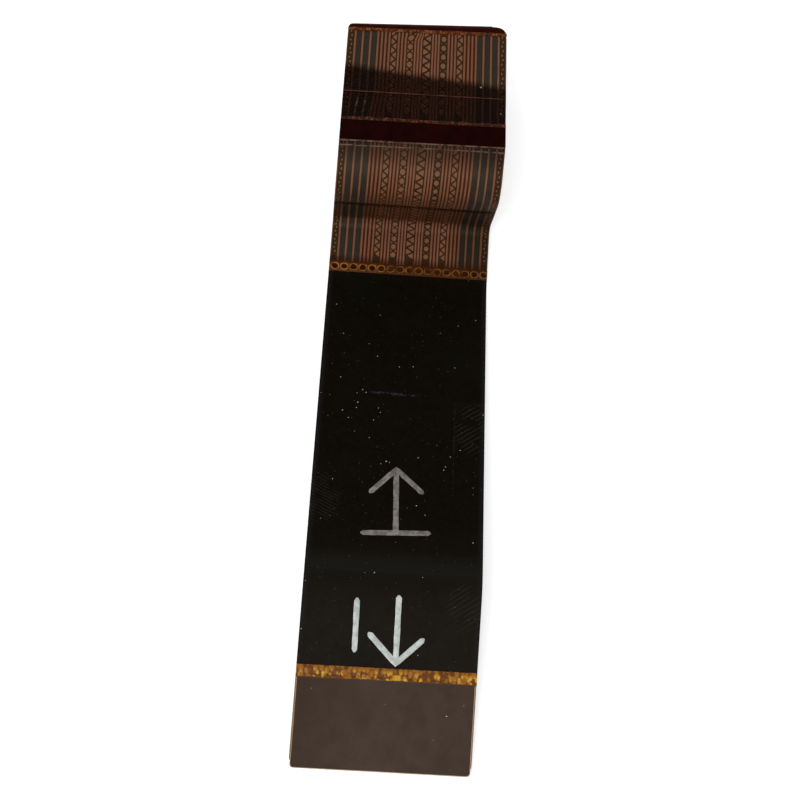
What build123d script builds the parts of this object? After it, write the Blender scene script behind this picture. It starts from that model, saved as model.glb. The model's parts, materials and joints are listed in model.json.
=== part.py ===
from build123d import *
import math
import os

# Flat flex cable between two boards, in millimetres. It lies loose on a table: a stiffened plug end
# at the front, a long black shielded run, then a step up with two clear windows over the copper, and
# a tail that folds down at the back. Width runs along X, length along Y, and Z is up.

# Widths across the cable
cable_width = 16.0
edge_margin = 0.1
plate_inset = 0.1

# Thickness of each layer, from the table side up
lower_shield_thickness = 0.05
base_thickness = 0.12
copper_thickness = 0.035
coverlay_thickness = 0.05
upper_shield_thickness = 0.05
plate_thickness = 0.22
red_film_thickness = 0.05

# Bends along the cable. Each run is measured corner to corner, each angle is the turn in degrees
# (positive turns up), and each radius is that of the table side.
near_run = 16.5
arch_angle = -23.9
arch_radius = 7.0
black_run = 33.8
valley_angle = 19.5
valley_radius = 6.0
floor_run = 6.6
foot_angle = 92.6
foot_radius = 1.2
riser_run = 9.2
shoulder_angle = -70.1
shoulder_radius = 3.0
dome_run = 4.5
crest_angle = -39.8
crest_radius = 1.0
level_run = 15.9
end_angle = -86.0
end_radius = 0.9
tail_run = 6.5

# Lengths of the top films and glue lines, along the cable
plate_length = 7.95
plate_corner_radius = 0.3
plate_bead_width = 1.0
black_film_length = 42.0
film_bead_width = 1.1
red_strip_length = 2.5
strip_bead_width = 0.4
end_bead_width = 0.4
end_bead_setback = 0.2
bead_edge_height = 0.04
bead_height = 0.13

# Copper pattern, from the centre line out to each edge. The power tracks share the width that is left.
copper_gap = 0.18
center_hatch_width = 0.97
inner_pair_width = 0.12
inner_hatch_width = 0.81
outer_pair_width = 0.16
outer_hatch_width = 0.76
signal_width = 0.2
power_count = 3
ground_edge_width = 0.605
near_copper_setback = 0.6

# Openings in the hatched copper
hatch_pitch = 0.92
notch_length = 0.5
notch_rest = 0.3
diamond_length = 0.5
diamond_width = 0.4

# Board plugs, one under the plate and one on the tail
plug_setback = 1.3
plug_width = 3.0
plug_height = 0.95
plug_corner_cut = 0.25
plug_rim = 0.8
plug_pocket_depth = 0.55
contact_count = 14
contact_pitch = 0.5
contact_width = 0.2
contact_thickness = 0.09
contact_foot_length = 0.4
contact_leg_height = 0.6
plug_end_margin = 0.95
tab_width = 1.4
tail_plug_setback = 1.0

# Heights of the layer faces over the cable's lowest face
base_low = lower_shield_thickness
copper_low = base_low + base_thickness
coverlay_low = copper_low + copper_thickness
coverlay_top = coverlay_low + coverlay_thickness
half_width = cable_width / 2
plug_length = (contact_count - 1) * contact_pitch + 2 * plug_end_margin


def direction(heading):
    """Unit vector (y, z) along a heading in degrees."""
    return math.cos(math.radians(heading)), math.sin(math.radians(heading))


def step(point, heading, distance):
    """The point reached from point by going distance along heading."""
    along = direction(heading)
    return point[0] + along[0] * distance, point[1] + along[1] * distance


def bend_chain(start, heading):
    """Straight and curved pieces of the side profile, each with its first station, point and heading."""
    runs = [near_run, black_run, floor_run, riser_run, dome_run, level_run, tail_run]
    turns = [arch_angle, valley_angle, foot_angle, shoulder_angle, crest_angle, end_angle]
    radii = [arch_radius, valley_radius, foot_radius, shoulder_radius, crest_radius, end_radius]
    trims = [r * math.tan(math.radians(abs(t)) / 2) for r, t in zip(radii, turns)]
    before = [0] + trims
    after = trims + [0]
    pieces = []
    station, point = 0.0, start
    for i, run in enumerate(runs):
        length = run - before[i] - after[i]
        pieces.append(dict(station=station, length=length, point=point, heading=heading, turn=0, radius=0))
        station, point = station + length, step(point, heading, length)
        if i < len(turns):
            side = math.copysign(1, turns[i])
            length = radii[i] * math.radians(abs(turns[i]))
            pieces.append(dict(station=station, length=length, point=point, heading=heading,
                               turn=turns[i], radius=radii[i]))
            centre = step(point, heading + 90 * side, radii[i])
            heading += turns[i]
            station, point = station + length, step(centre, heading - 90 * side, radii[i])
    return pieces


def place(chain, station, height):
    """The (y, z) point at a station along the cable and a height over its lowest face."""
    piece = [p for p in chain if p["station"] <= station + 1e-9][-1] if station > 0 else chain[0]
    travel = station - piece["station"]
    if not piece["turn"]:
        return step(step(piece["point"], piece["heading"], travel), piece["heading"] + 90, height)
    side = math.copysign(1, piece["turn"])
    centre = step(piece["point"], piece["heading"] + 90 * side, piece["radius"])
    heading = piece["heading"] + side * math.degrees(travel / piece["radius"])
    return step(centre, heading - 90 * side, piece["radius"] - side * height)


def resting_chain():
    """The chain turned so that the cable lies on its front plug's edge and on its valley."""
    flat = bend_chain((0, 0), 0)
    edge = place(flat, plug_setback, base_low - plug_height)
    valley = flat[3]
    centre = step(valley["point"], valley["heading"] + 90, valley["radius"])
    away, up = centre[0] - edge[0], centre[1] - edge[1]
    tilt = math.degrees(math.asin(valley["radius"] / math.hypot(away, up)) - math.atan2(up, away))
    return bend_chain((0, 0), tilt)


chain = resting_chain()
cable_length = chain[-1]["station"] + chain[-1]["length"]
floor_piece, foot_piece = chain[4], chain[5]
crest_piece, end_bend_piece = chain[9], chain[11]

# Stations of the films and glue lines
film_start = plate_length + plate_bead_width
film_end = film_start + black_film_length
window_start = film_end + film_bead_width
strip_start = crest_piece["station"] + crest_piece["length"] / 2
strip_end = strip_start + red_strip_length
end_bead_end = end_bend_piece["station"] - end_bead_setback
end_bead_start = end_bead_end - end_bead_width


def row(x, start, stop, height):
    """Lines and arcs along the cable at one height, from one station to another."""
    joints = [p["station"] for p in chain if start + 1e-6 < p["station"] < stop - 1e-6]
    stations = [start] + joints + [stop]
    edges = []
    for a, b in zip(stations, stations[1:]):
        piece = [p for p in chain if p["station"] <= (a + b) / 2][-1]
        first, middle, last = [(x, *place(chain, s, height)) for s in (a, (a + b) / 2, b - 1e-9)]
        edges.append(ThreePointArc(first, middle, last) if piece["turn"] else Line(first, last))
    return edges


def between(edges, more):
    """The face enclosed by two rows of edges and the two ends that join them."""
    first = Line(edges[0] @ 0, more[0] @ 0)
    last = Line(edges[-1] @ 1, more[-1] @ 1)
    return Face(Wire(edges + more + [first, last]))


def band(start, stop, low, high, left, right):
    """A layer that follows the bends, between two stations, two heights and two places across."""
    face = between(row(left, start, stop, low), row(left, start, stop, high))
    return extrude(face, amount=right - left, dir=(1, 0, 0))


def bead(start, stop):
    """A low mound of glue across the cable, on the coverlay."""
    left = -half_width
    low = row(left, start, stop, coverlay_top)
    middle = (start + stop) / 2
    crown = [(s, coverlay_top + h) for s, h in
             ((start, bead_edge_height), (middle, bead_height), (stop, bead_edge_height))]
    top = ThreePointArc(*[(left, *place(chain, s, h)) for s, h in crown])
    return extrude(between(low, [top]), amount=cable_width, dir=(1, 0, 0))


def local_plane(station, height, under=False):
    """A plane on the cable at a station, X across it and Z out of its top or its under side."""
    heading = [p for p in chain if p["station"] <= station][-1]["heading"]
    up = direction(heading + 90)
    sign = -1 if under else 1
    return Plane((0, *place(chain, station, height)), x_dir=(1, 0, 0), z_dir=(0, sign * up[0], sign * up[1]))


def stiffener():
    """Flat plate on the near end's top, with its two free corners rounded."""
    outline = Rectangle(cable_width - 2 * plate_inset, plate_length)
    outline = fillet(outline.vertices().group_by(Axis.Y)[0], plate_corner_radius)
    return local_plane(plate_length / 2, coverlay_top) * extrude(outline, plate_thickness)


def track_layout():
    """Each conductor as name: (left, right), mirrored about the centre line."""
    tracks = {"ground_hatch_center": (-center_hatch_width / 2, center_hatch_width / 2)}
    outward = [("inner_pair_1", inner_pair_width), ("inner_pair_2", inner_pair_width),
               ("inner_ground_hatch", inner_hatch_width),
               ("outer_pair_1", outer_pair_width), ("outer_pair_2", outer_pair_width),
               ("outer_ground_hatch", outer_hatch_width)]
    outward += [(f"signal_track_{i}", signal_width) for i in (1, 2, 3)]
    inside = center_hatch_width / 2 + copper_gap
    power_inside = inside + sum(width + copper_gap for name, width in outward)
    edge_inside = half_width - edge_margin - ground_edge_width
    power_width = (edge_inside - power_inside) / power_count - copper_gap
    outward += [(f"power_track_{i + 1}", power_width) for i in range(power_count)]
    outward += [("ground_edge", ground_edge_width)]
    for name, width in outward:
        tracks[f"left_{name}"] = (-inside - width, -inside)
        tracks[f"right_{name}"] = (inside, inside + width)
        inside += width + copper_gap
    return tracks


def hatch_stations():
    """Places of the hatch openings: evenly spaced on the flat stretches of the two windows."""
    stretches = [(max(window_start, floor_piece["station"]), foot_piece["station"]),
                 (strip_end + strip_bead_width, end_bead_start)]
    places = []
    for start, stop in stretches:
        count = int((stop - start) / hatch_pitch)
        spare = (stop - start) - count * hatch_pitch
        places += [start + spare / 2 + (i + 0.5) * hatch_pitch for i in range(count)]
    return places


def notch(left, right, station, side):
    """Triangular cutter that bites into one edge of a hatched conductor."""
    outer, inner = (left, right - notch_rest) if side < 0 else (right, left + notch_rest)
    overrun = side * copper_gap / 4
    points = [(outer + overrun, -notch_length / 2), (outer + overrun, notch_length / 2), (inner, 0)]
    shape = make_face(Polyline(*points, close=True))
    return local_plane(station, copper_low - copper_thickness) * extrude(shape, 3 * copper_thickness)


def diamond(left, right, station):
    """Diamond cutter through the middle of a hatched conductor."""
    middle = (left + right) / 2
    points = [(middle - diamond_width / 2, 0), (middle, diamond_length / 2),
              (middle + diamond_width / 2, 0), (middle, -diamond_length / 2)]
    shape = make_face(Polyline(*points, close=True))
    return local_plane(station, copper_low - copper_thickness) * extrude(shape, 3 * copper_thickness)


def conductor(name, left, right):
    """One copper track from the plate's end to the last bend, with its openings if it is hatched."""
    track = band(near_copper_setback, end_bend_piece["station"], copper_low, coverlay_low, left, right)
    if "hatch" not in name:
        return track
    if name == "right_inner_ground_hatch":
        cutters = [diamond(left, right, s) for s in hatch_stations()]
    elif name == "left_inner_ground_hatch":
        cutters = [notch(left, right, s, 1) for s in hatch_stations()]
    else:
        cutters = [notch(left, right, s, -1 if i % 2 else 1) for i, s in enumerate(hatch_stations())]
    return track - cutters


def bracket(foot, leg, width):
    """An L of sheet metal: its foot lies flat along Y and its leg stands up at Y = 0."""
    points = [(0, 0), (foot, 0), (foot, contact_thickness), (contact_thickness, contact_thickness),
              (contact_thickness, leg), (0, leg)]
    shape = make_face(Polyline(*points, close=True))
    return Pos(width / 2, 0, 0) * (Plane.YZ * extrude(shape, -width))


def plug_housing():
    """Moulded plug body: an oblong block with a pocket in its mating face."""
    outline = chamfer(Rectangle(plug_length, plug_width).vertices(), plug_corner_cut)
    body = extrude(outline, plug_height)
    pocket = Rectangle(plug_length - 2 * plug_rim, plug_width - 2 * plug_rim)
    return body - Pos(0, 0, plug_height - plug_pocket_depth) * extrude(pocket, plug_height)


def plug_contacts():
    """Two rows of contacts along the housing's long sides, with their feet on the cable."""
    one = bracket(contact_foot_length, contact_leg_height, contact_width)
    first = -(contact_count - 1) * contact_pitch / 2
    solids = []
    for i in range(contact_count):
        place_one = Pos(first + i * contact_pitch, plug_width / 2, 0)
        solids += [place_one * one, Rot(0, 0, 180) * place_one * one]
    return Compound([s.solid() for s in solids])


def plug_tabs():
    """Two hold-down tabs at the housing's ends."""
    one = Pos(plug_length / 2, 0, 0) * Rot(0, 0, -90) * bracket(contact_foot_length, contact_leg_height, tab_width)
    return Compound([one.solid(), (Rot(0, 0, 180) * one).solid()])


def build_nodes():
    """Every sub-part by name, in the frame of the side profile."""
    left, right = -half_width, half_width
    red_top = coverlay_top + red_film_thickness
    film_top = coverlay_top + upper_shield_thickness
    nodes = {
        "lower_shield_film": band(film_start, film_end, 0, base_low, left, right),
        "base_film": band(0, cable_length, base_low, copper_low, left, right),
        "upper_coverlay": band(0, cable_length, coverlay_low, coverlay_top, left, right),
        "upper_shield_film": band(film_start, film_end, coverlay_top, film_top, left, right),
        "stiffener_plate": stiffener(),
        "red_cover_strip": band(strip_start, strip_end, coverlay_top, red_top, left, right),
        "red_end_cover": band(end_bead_end, cable_length, coverlay_top, red_top, left, right),
        "plate_glue_bead": bead(plate_length, film_start),
        "film_glue_bead": bead(film_end, window_start),
        "strip_glue_bead": bead(strip_end, strip_end + strip_bead_width),
        "end_glue_bead": bead(end_bead_start, end_bead_end),
    }
    for name, (inside, outside) in track_layout().items():
        nodes[name] = conductor(name, inside, outside)
    seats = {"near_plug": local_plane(plug_setback + plug_width / 2, base_low, under=True),
             "tail_plug": local_plane(cable_length - tail_plug_setback - plug_width / 2, base_low, under=True)}
    for name, seat in seats.items():
        nodes[f"{name}_housing"] = seat * plug_housing()
        nodes[f"{name}_contacts"] = seat * plug_contacts()
        nodes[f"{name}_tabs"] = seat * plug_tabs()
    return nodes


nodes = build_nodes()
box = Compound([solid for node in nodes.values() for solid in node.solids()]).bounding_box()
to_origin = Pos(-box.center().X, -box.center().Y, -box.min.Z)

os.makedirs("parts", exist_ok=True)
for name, node in nodes.items():
    export_step(to_origin * node, f"parts/{name}.step")
print("length along the cable", round(cable_length, 2), "box", box.size)
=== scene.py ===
import json
import math

import bpy
from mathutils import Matrix, Vector, noise
from mathutils.geometry import delaunay_2d_cdt


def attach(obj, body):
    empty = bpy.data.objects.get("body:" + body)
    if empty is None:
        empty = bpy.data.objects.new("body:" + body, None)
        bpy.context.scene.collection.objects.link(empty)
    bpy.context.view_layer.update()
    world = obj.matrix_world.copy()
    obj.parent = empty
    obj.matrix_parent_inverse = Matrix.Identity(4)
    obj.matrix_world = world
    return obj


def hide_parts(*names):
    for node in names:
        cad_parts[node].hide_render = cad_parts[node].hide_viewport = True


# The looks of a flat flex cable: a formed laminate with copper tracks under a clear film, matte black
# film over its long run, lines of amber glue, a stiffened end and a plug under each end.
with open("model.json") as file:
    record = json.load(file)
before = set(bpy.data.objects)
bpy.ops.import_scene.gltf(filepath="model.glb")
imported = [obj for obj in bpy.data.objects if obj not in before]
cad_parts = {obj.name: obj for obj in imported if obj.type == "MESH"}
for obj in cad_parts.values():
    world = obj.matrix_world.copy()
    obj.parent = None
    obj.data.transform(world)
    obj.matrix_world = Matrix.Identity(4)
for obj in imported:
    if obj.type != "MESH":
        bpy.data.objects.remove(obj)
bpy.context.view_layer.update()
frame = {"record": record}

mm = 0.001

# Driving sizes of the cable, the same as the solids have
cable_width = 16.0 * mm
edge_margin = 0.1 * mm
plate_inset = 0.1 * mm
base_low = 0.05 * mm
copper_low = 0.17 * mm
coverlay_low = 0.205 * mm
coverlay_top = 0.255 * mm
coverlay_clearance = 0.004 * mm
film_top = 0.305 * mm
plate_thickness = 0.22 * mm
runs = [length * mm for length in (16.5, 33.8, 6.6, 9.2, 4.5, 15.9, 6.5)]
turns = [-23.9, 19.5, 92.6, -70.1, -39.8, -86.0]
radii = [radius * mm for radius in (7.0, 6.0, 1.2, 3.0, 1.0, 0.9)]
plate_length = 7.95 * mm
plate_corner_radius = 0.3 * mm
plate_bead_width = 1.0 * mm
black_film_length = 42.0 * mm
film_bead_width = 1.1 * mm
red_strip_length = 2.5 * mm
strip_bead_width = 0.4 * mm
end_bead_width = 0.4 * mm
end_bead_setback = 0.2 * mm
bead_edge_height = 0.04 * mm
bead_height = 0.13 * mm
near_copper_setback = 0.6 * mm
copper_gap = 0.18 * mm
center_hatch_width = 0.97 * mm
pair_widths = {"inner": 0.12 * mm, "outer": 0.16 * mm}
hatch_widths = {"inner": 0.81 * mm, "outer": 0.76 * mm}
signal_width = 0.2 * mm
ground_edge_width = 0.605 * mm
power_count = 3
plug_setback = 1.3 * mm
plug_width = 3.0 * mm
plug_height = 0.95 * mm
plug_corner_cut = 0.25 * mm
plug_rim = 0.8 * mm
plug_pocket_depth = 0.55 * mm
contact_count = 14
contact_pitch = 0.5 * mm
contact_width = 0.2 * mm
contact_thickness = 0.09 * mm
contact_foot = 0.4 * mm
contact_leg = 0.6 * mm
plug_end_margin = 0.95 * mm
tab_width = 1.4 * mm
tail_plug_setback = 1.0 * mm
half_width = cable_width / 2
plug_length = (contact_count - 1) * contact_pitch + 2 * plug_end_margin

# Folds and waves that handling left in the laminate
crease_station = 61.65 * mm
crease_depth = 0.05 * mm
crease_width = 0.16 * mm
ridge_station = 75.6 * mm
ridge_height = 0.02 * mm
ridge_width = 0.09 * mm
wave_height = 0.035 * mm
wave_length = 8.0 * mm
wave_starts = (9.5 * mm, 14 * mm)
wave_stops = (79 * mm, 83 * mm)
# How far the cable runs out of square, as a slope at some stations (mm)
skew_marks = [(0.0, 0.014), (12.0, 0.02), (60.0, 0.02), (70.0, 0.042), (76.0, 0.037), (84.0, 0.055),
              (85.3, 0.085)]
# How far the left tracks lean outward past the red strip, and a few others jog inward at the far glue
lean_reach = 0.3 * mm
jog_reach = 0.3 * mm

# Rounded corners of the outline: at the near end, and where the far end folds down
corner_radius = 0.42 * mm
corner_zone = 2.0 * mm
fold_cut_left = 0.55 * mm
fold_cut_right = 1.45 * mm
fold_cut_length = 0.95 * mm
fold_cut_lead = 0.45 * mm

# Openings of the hatched grounds, as they lie in the two windows
first_hatch = 53.1 * mm
step_hatch_pitch = 0.857 * mm
level_hatch_pitch = 1.21 * mm
level_hatch_first = 73.49 * mm
hatch_rail = 0.125 * mm

# Row of ovals in the glue at the black film's far edge
oval_pitch = 0.94 * mm
oval_shift = 0.36 * mm
oval_half_width = 0.29 * mm
oval_half_length = 0.25 * mm

# Wear of the black film and a painted highlight, in millimetres: a pale band over the arch with a streak in
# it, which is the painted highlight of the bend, patches of fine lines as (turn in degrees, pitch, x,
# station, reach across, reach along), the outline that something square pressed in as (x, near, far), and a
# rubbed line
highlight_middle, highlight_width = 18.0, 1.8
highlight_streak_middle, highlight_streak_width = 17.75, 0.24
scuff_patches = [(36, 0.42, 6.8, 33.0, 2.0, 3.4), (-25, 0.3, -7.0, 24.6, 2.2, 3.2),
                 (34, 0.4, 6.4, 14.6, 1.9, 2.6)]
imprint_place = (5.1, 26.1, 35.8)
rubbed_middle, rubbed_width = 36.8, 0.17

# Small heights that keep one face off another
sink = 0.002 * mm
bead_sink = 0.004 * mm

# Sampling of the meshes
bend_step = 3.0
long_step = 0.8 * mm
fine_step = 0.06 * mm


def direction(heading):
    """Unit vector (y, z) along a heading in degrees."""
    return math.cos(math.radians(heading)), math.sin(math.radians(heading))


def step(point, heading, distance):
    """The point reached from point by going distance along heading."""
    along = direction(heading)
    return point[0] + along[0] * distance, point[1] + along[1] * distance


def bend_chain(start, heading):
    """Straight and curved pieces of the side profile, each with its first station, point and heading."""
    trims = [r * math.tan(math.radians(abs(t)) / 2) for r, t in zip(radii, turns)]
    before, after = [0] + trims, trims + [0]
    pieces = []
    station, point = 0.0, start
    for i, run in enumerate(runs):
        length = run - before[i] - after[i]
        pieces.append(dict(station=station, length=length, point=point, heading=heading, turn=0, radius=0))
        station, point = station + length, step(point, heading, length)
        if i < len(turns):
            side = math.copysign(1, turns[i])
            length = radii[i] * math.radians(abs(turns[i]))
            pieces.append(dict(station=station, length=length, point=point, heading=heading,
                               turn=turns[i], radius=radii[i]))
            centre = step(point, heading + 90 * side, radii[i])
            heading += turns[i]
            station, point = station + length, step(centre, heading - 90 * side, radii[i])
    return pieces


def place(chain, station, height):
    """The (y, z) point at a station along the cable and a height over its lowest face."""
    piece = chain[0]
    for candidate in chain:
        if candidate["station"] <= station + 1e-12:
            piece = candidate
    travel = station - piece["station"]
    if not piece["turn"]:
        return step(step(piece["point"], piece["heading"], travel), piece["heading"] + 90, height)
    side = math.copysign(1, piece["turn"])
    centre = step(piece["point"], piece["heading"] + 90 * side, piece["radius"])
    heading = piece["heading"] + side * math.degrees(travel / piece["radius"])
    return step(centre, heading - 90 * side, piece["radius"] - side * height)


def chain_in_frame():
    """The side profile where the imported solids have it, taken from the mount on the plate."""
    mount = next(m for m in frame["record"]["mounts"] if m["name"] == "plate_top")
    heading = math.degrees(math.atan2(-mount["axis"][1], mount["axis"][2]))
    loose = bend_chain((0.0, 0.0), heading)
    y, z = place(loose, plate_length / 2, coverlay_top + plate_thickness)
    return bend_chain((mount["pos_m"][1] - y, mount["pos_m"][2] - z), heading)


chain = chain_in_frame()
cable_length = chain[-1]["station"] + chain[-1]["length"]
end_bend_start = chain[11]["station"]
film_start = plate_length + plate_bead_width
film_end = film_start + black_film_length
window_start = film_end + film_bead_width
strip_start = chain[9]["station"] + chain[9]["length"] / 2
strip_end = strip_start + red_strip_length
strip_bead_end = strip_end + strip_bead_width
end_bead_end = end_bend_start - end_bead_setback
end_bead_start = end_bead_end - end_bead_width


def smooth(value, start, stop):
    """0 before start, 1 after stop, and an even curve between them."""
    t = min(max((value - start) / (stop - start), 0.0), 1.0)
    return t * t * (3 - 2 * t)


def bell(value, middle, width):
    """1 at the middle, and falling away on both sides."""
    return math.exp(-((value - middle) / width) ** 2)


def lift(x, station):
    """How far the laminate stands off its plain profile: the crease, the ridge and gentle waves."""
    wavy = smooth(station, *wave_starts) * (1 - smooth(station, *wave_stops))
    wave = (0.5 + 0.5 * noise.noise((x / wave_length, station / wave_length, 3.1))) * wave_height * wavy
    crease = -crease_depth * bell(station, crease_station, crease_width)
    ridge = ridge_height * bell(station, ridge_station, ridge_width)
    return wave + crease + ridge


def skew(station):
    """How far the cable runs out of square, as a slope."""
    slope = skew_marks[0][1]
    for (start, low), (stop, high) in zip(skew_marks, skew_marks[1:]):
        slope += (high - low) * smooth(station, start * mm, stop * mm)
    return slope


def trimmed(x, station):
    """x, drawn in where the corners of the outline are rounded."""
    left_of_round = max(0.0, corner_radius - station)
    near = corner_radius - math.sqrt(max(0.0, corner_radius ** 2 - left_of_round ** 2))
    t = min(max((station - end_bend_start + fold_cut_lead) / fold_cut_length, 0.0), 1.0)
    far = (fold_cut_right if x > 0 else fold_cut_left) * (1 - math.sqrt(1 - t * t))
    whole = half_width - corner_zone
    if abs(x) <= whole:
        return x
    return math.copysign(whole + (abs(x) - whole) * (corner_zone - max(near, far)) / corner_zone, x)


def at(x, station, height, trim=True):
    """The point of the scene at a place across the cable, a station along it and a height."""
    y, z = place(chain, station, height + lift(x, station))
    x = trimmed(x, station) if trim else x
    return Vector((x, y + skew(station) * x, z))


def stations(start, stop, straight_step=long_step):
    """Stations from start to stop: close together in the bends and at the crease and the ridge."""
    found = {start, stop}
    for piece in chain:
        low, high = max(start, piece["station"]), min(stop, piece["station"] + piece["length"])
        if high <= low:
            continue
        reach = piece["radius"] * math.radians(bend_step) if piece["turn"] else straight_step
        count = max(1, math.ceil((high - low) / reach))
        found.update(low + (high - low) * i / count for i in range(count + 1))
    for middle, width in ((crease_station, crease_width), (ridge_station, ridge_width)):
        found.update(middle + width * k / 2 for k in range(-5, 6) if start < middle + width * k / 2 < stop)
    kept = []
    for value in sorted(found):
        if not kept or value - kept[-1] > 0.01 * mm:
            kept.append(value)
    kept[-1] = stop
    return kept


def spread(low, high, count):
    """Evenly spaced values, both ends included."""
    return [low + (high - low) * i / count for i in range(count + 1)]


def put(name, data):
    """A new object in the scene."""
    thing = bpy.data.objects.new(name, data)
    bpy.context.scene.collection.objects.link(thing)
    return thing


class Piece:
    """One visible piece, gathered as points (x, station, height) and faces, then bent onto the cable."""

    def __init__(self, name):
        self.name, self.points, self.faces, self.slots = name, [], [], []

    def add(self, points, faces, slot=0):
        """Adds points and the faces between them. slot is one for all faces, or a list for each."""
        first = len(self.points)
        self.points += points
        self.faces += [[first + i for i in face] for face in faces]
        self.slots += slot if isinstance(slot, list) else [slot] * len(faces)

    def band(self, xs, lines, low, high, slot=0):
        """A closed slab over a grid. Each line is a station, or a function of x that gives one."""
        rows = [[(x, line(x) if callable(line) else line) for x in xs] for line in lines]
        top = [(x, s, high(x, s) if callable(high) else high) for row in rows for x, s in row]
        bottom = [(x, s, low(x, s) if callable(low) else low) for row in rows for x, s in row]
        n, m = len(xs), len(rows)
        under = n * m
        faces = []
        for j in range(m - 1):
            for i in range(n - 1):
                a = j * n + i
                faces.append([a, a + 1, a + n + 1, a + n])
                faces.append([under + a, under + a + n, under + a + n + 1, under + a + 1])
            left, right = j * n, j * n + n - 1
            faces.append([left, left + n, under + left + n, under + left])
            faces.append([right, under + right, under + right + n, right + n])
        for i in range(n - 1):
            near, far = i, (m - 1) * n + i
            faces.append([near, under + near, under + near + 1, near + 1])
            faces.append([far, far + 1, under + far + 1, under + far])
        self.add(top + bottom, faces, slot)

    def prism(self, outline, low, high, rim, rim_slot=0):
        """An upright solid on an outline of (x, station), with its top edge cut by rim."""
        n = len(outline)
        middle_x, middle_s = (sum(p[k] for p in outline) / n for k in (0, 1))
        inner = []
        for x, s in outline:
            cut = min(rim, math.hypot(x - middle_x, s - middle_s))
            inner.append((x - math.copysign(cut, x - middle_x), s - math.copysign(cut, s - middle_s)))
        levels = ((outline, low), (outline, high - rim), (inner, high))
        points = [(x, s, height) for places, height in levels for x, s in places]
        last = 2 * n
        faces = [[j + i, j + (i + 1) % n, j + n + (i + 1) % n, j + n + i] for j in (0, n) for i in range(n)]
        slots = [rim_slot] * len(faces) + [0, 0]
        faces += [[last + i for i in range(n)], list(reversed(range(n)))]
        self.add(points, faces, slots)

    def build(self, materials, slot, replaced=(), bevel=0.0, sharp=40.0, trim=True):
        """Makes the object, bends it onto the cable and lets it ride on the cable's body."""
        mesh = bpy.data.meshes.new(self.name)
        mesh.from_pydata([at(*p, trim) for p in self.points], [], self.faces)
        for material in materials:
            mesh.materials.append(material)
        mesh.polygons.foreach_set("material_index", self.slots)
        lay = mesh.attributes.new("lay", "FLOAT_VECTOR", "POINT")
        lay.data.foreach_set("vector", [value / mm for p in self.points for value in p])
        mesh.validate()
        mesh.shade_smooth()
        mesh.set_sharp_from_angle(angle=math.radians(sharp))
        piece = put(self.name, mesh)
        if bevel:
            cut = piece.modifiers.new("edges", "BEVEL")
            cut.width, cut.segments, cut.limit_method = bevel, 2, "ANGLE"
            cut.angle_limit = math.radians(50)
        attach(piece, "root")
        if replaced:
            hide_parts(*replaced)


def colour(red, green, blue):
    """A colour for a socket, from the usual 0 to 255 values of a screen."""
    linear = [((v / 255 + 0.055) / 1.055) ** 2.4 if v > 10 else v / 255 / 12.92 for v in (red, green, blue)]
    return (*linear, 1.0)


class Value:
    """A value that varies over a surface. Arithmetic on it adds the nodes that work it out."""

    def __init__(self, paint, socket):
        self.paint, self.socket = paint, socket

    def __add__(self, other):
        return self.paint.math("ADD", self, other)

    def __sub__(self, other):
        return self.paint.math("SUBTRACT", self, other)

    def __rsub__(self, other):
        return self.paint.math("SUBTRACT", other, self)

    def __mul__(self, other):
        return self.paint.math("MULTIPLY", self, other)

    def __truediv__(self, other):
        return self.paint.math("DIVIDE", self, other)

    def __abs__(self):
        return self.paint.math("ABSOLUTE", self)

    def __lt__(self, other):
        """1 where this is the smaller one."""
        return self.paint.math("LESS_THAN", self, other)

    def __or__(self, other):
        """The larger of both."""
        return self.paint.math("MAXIMUM", self, other)


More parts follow.
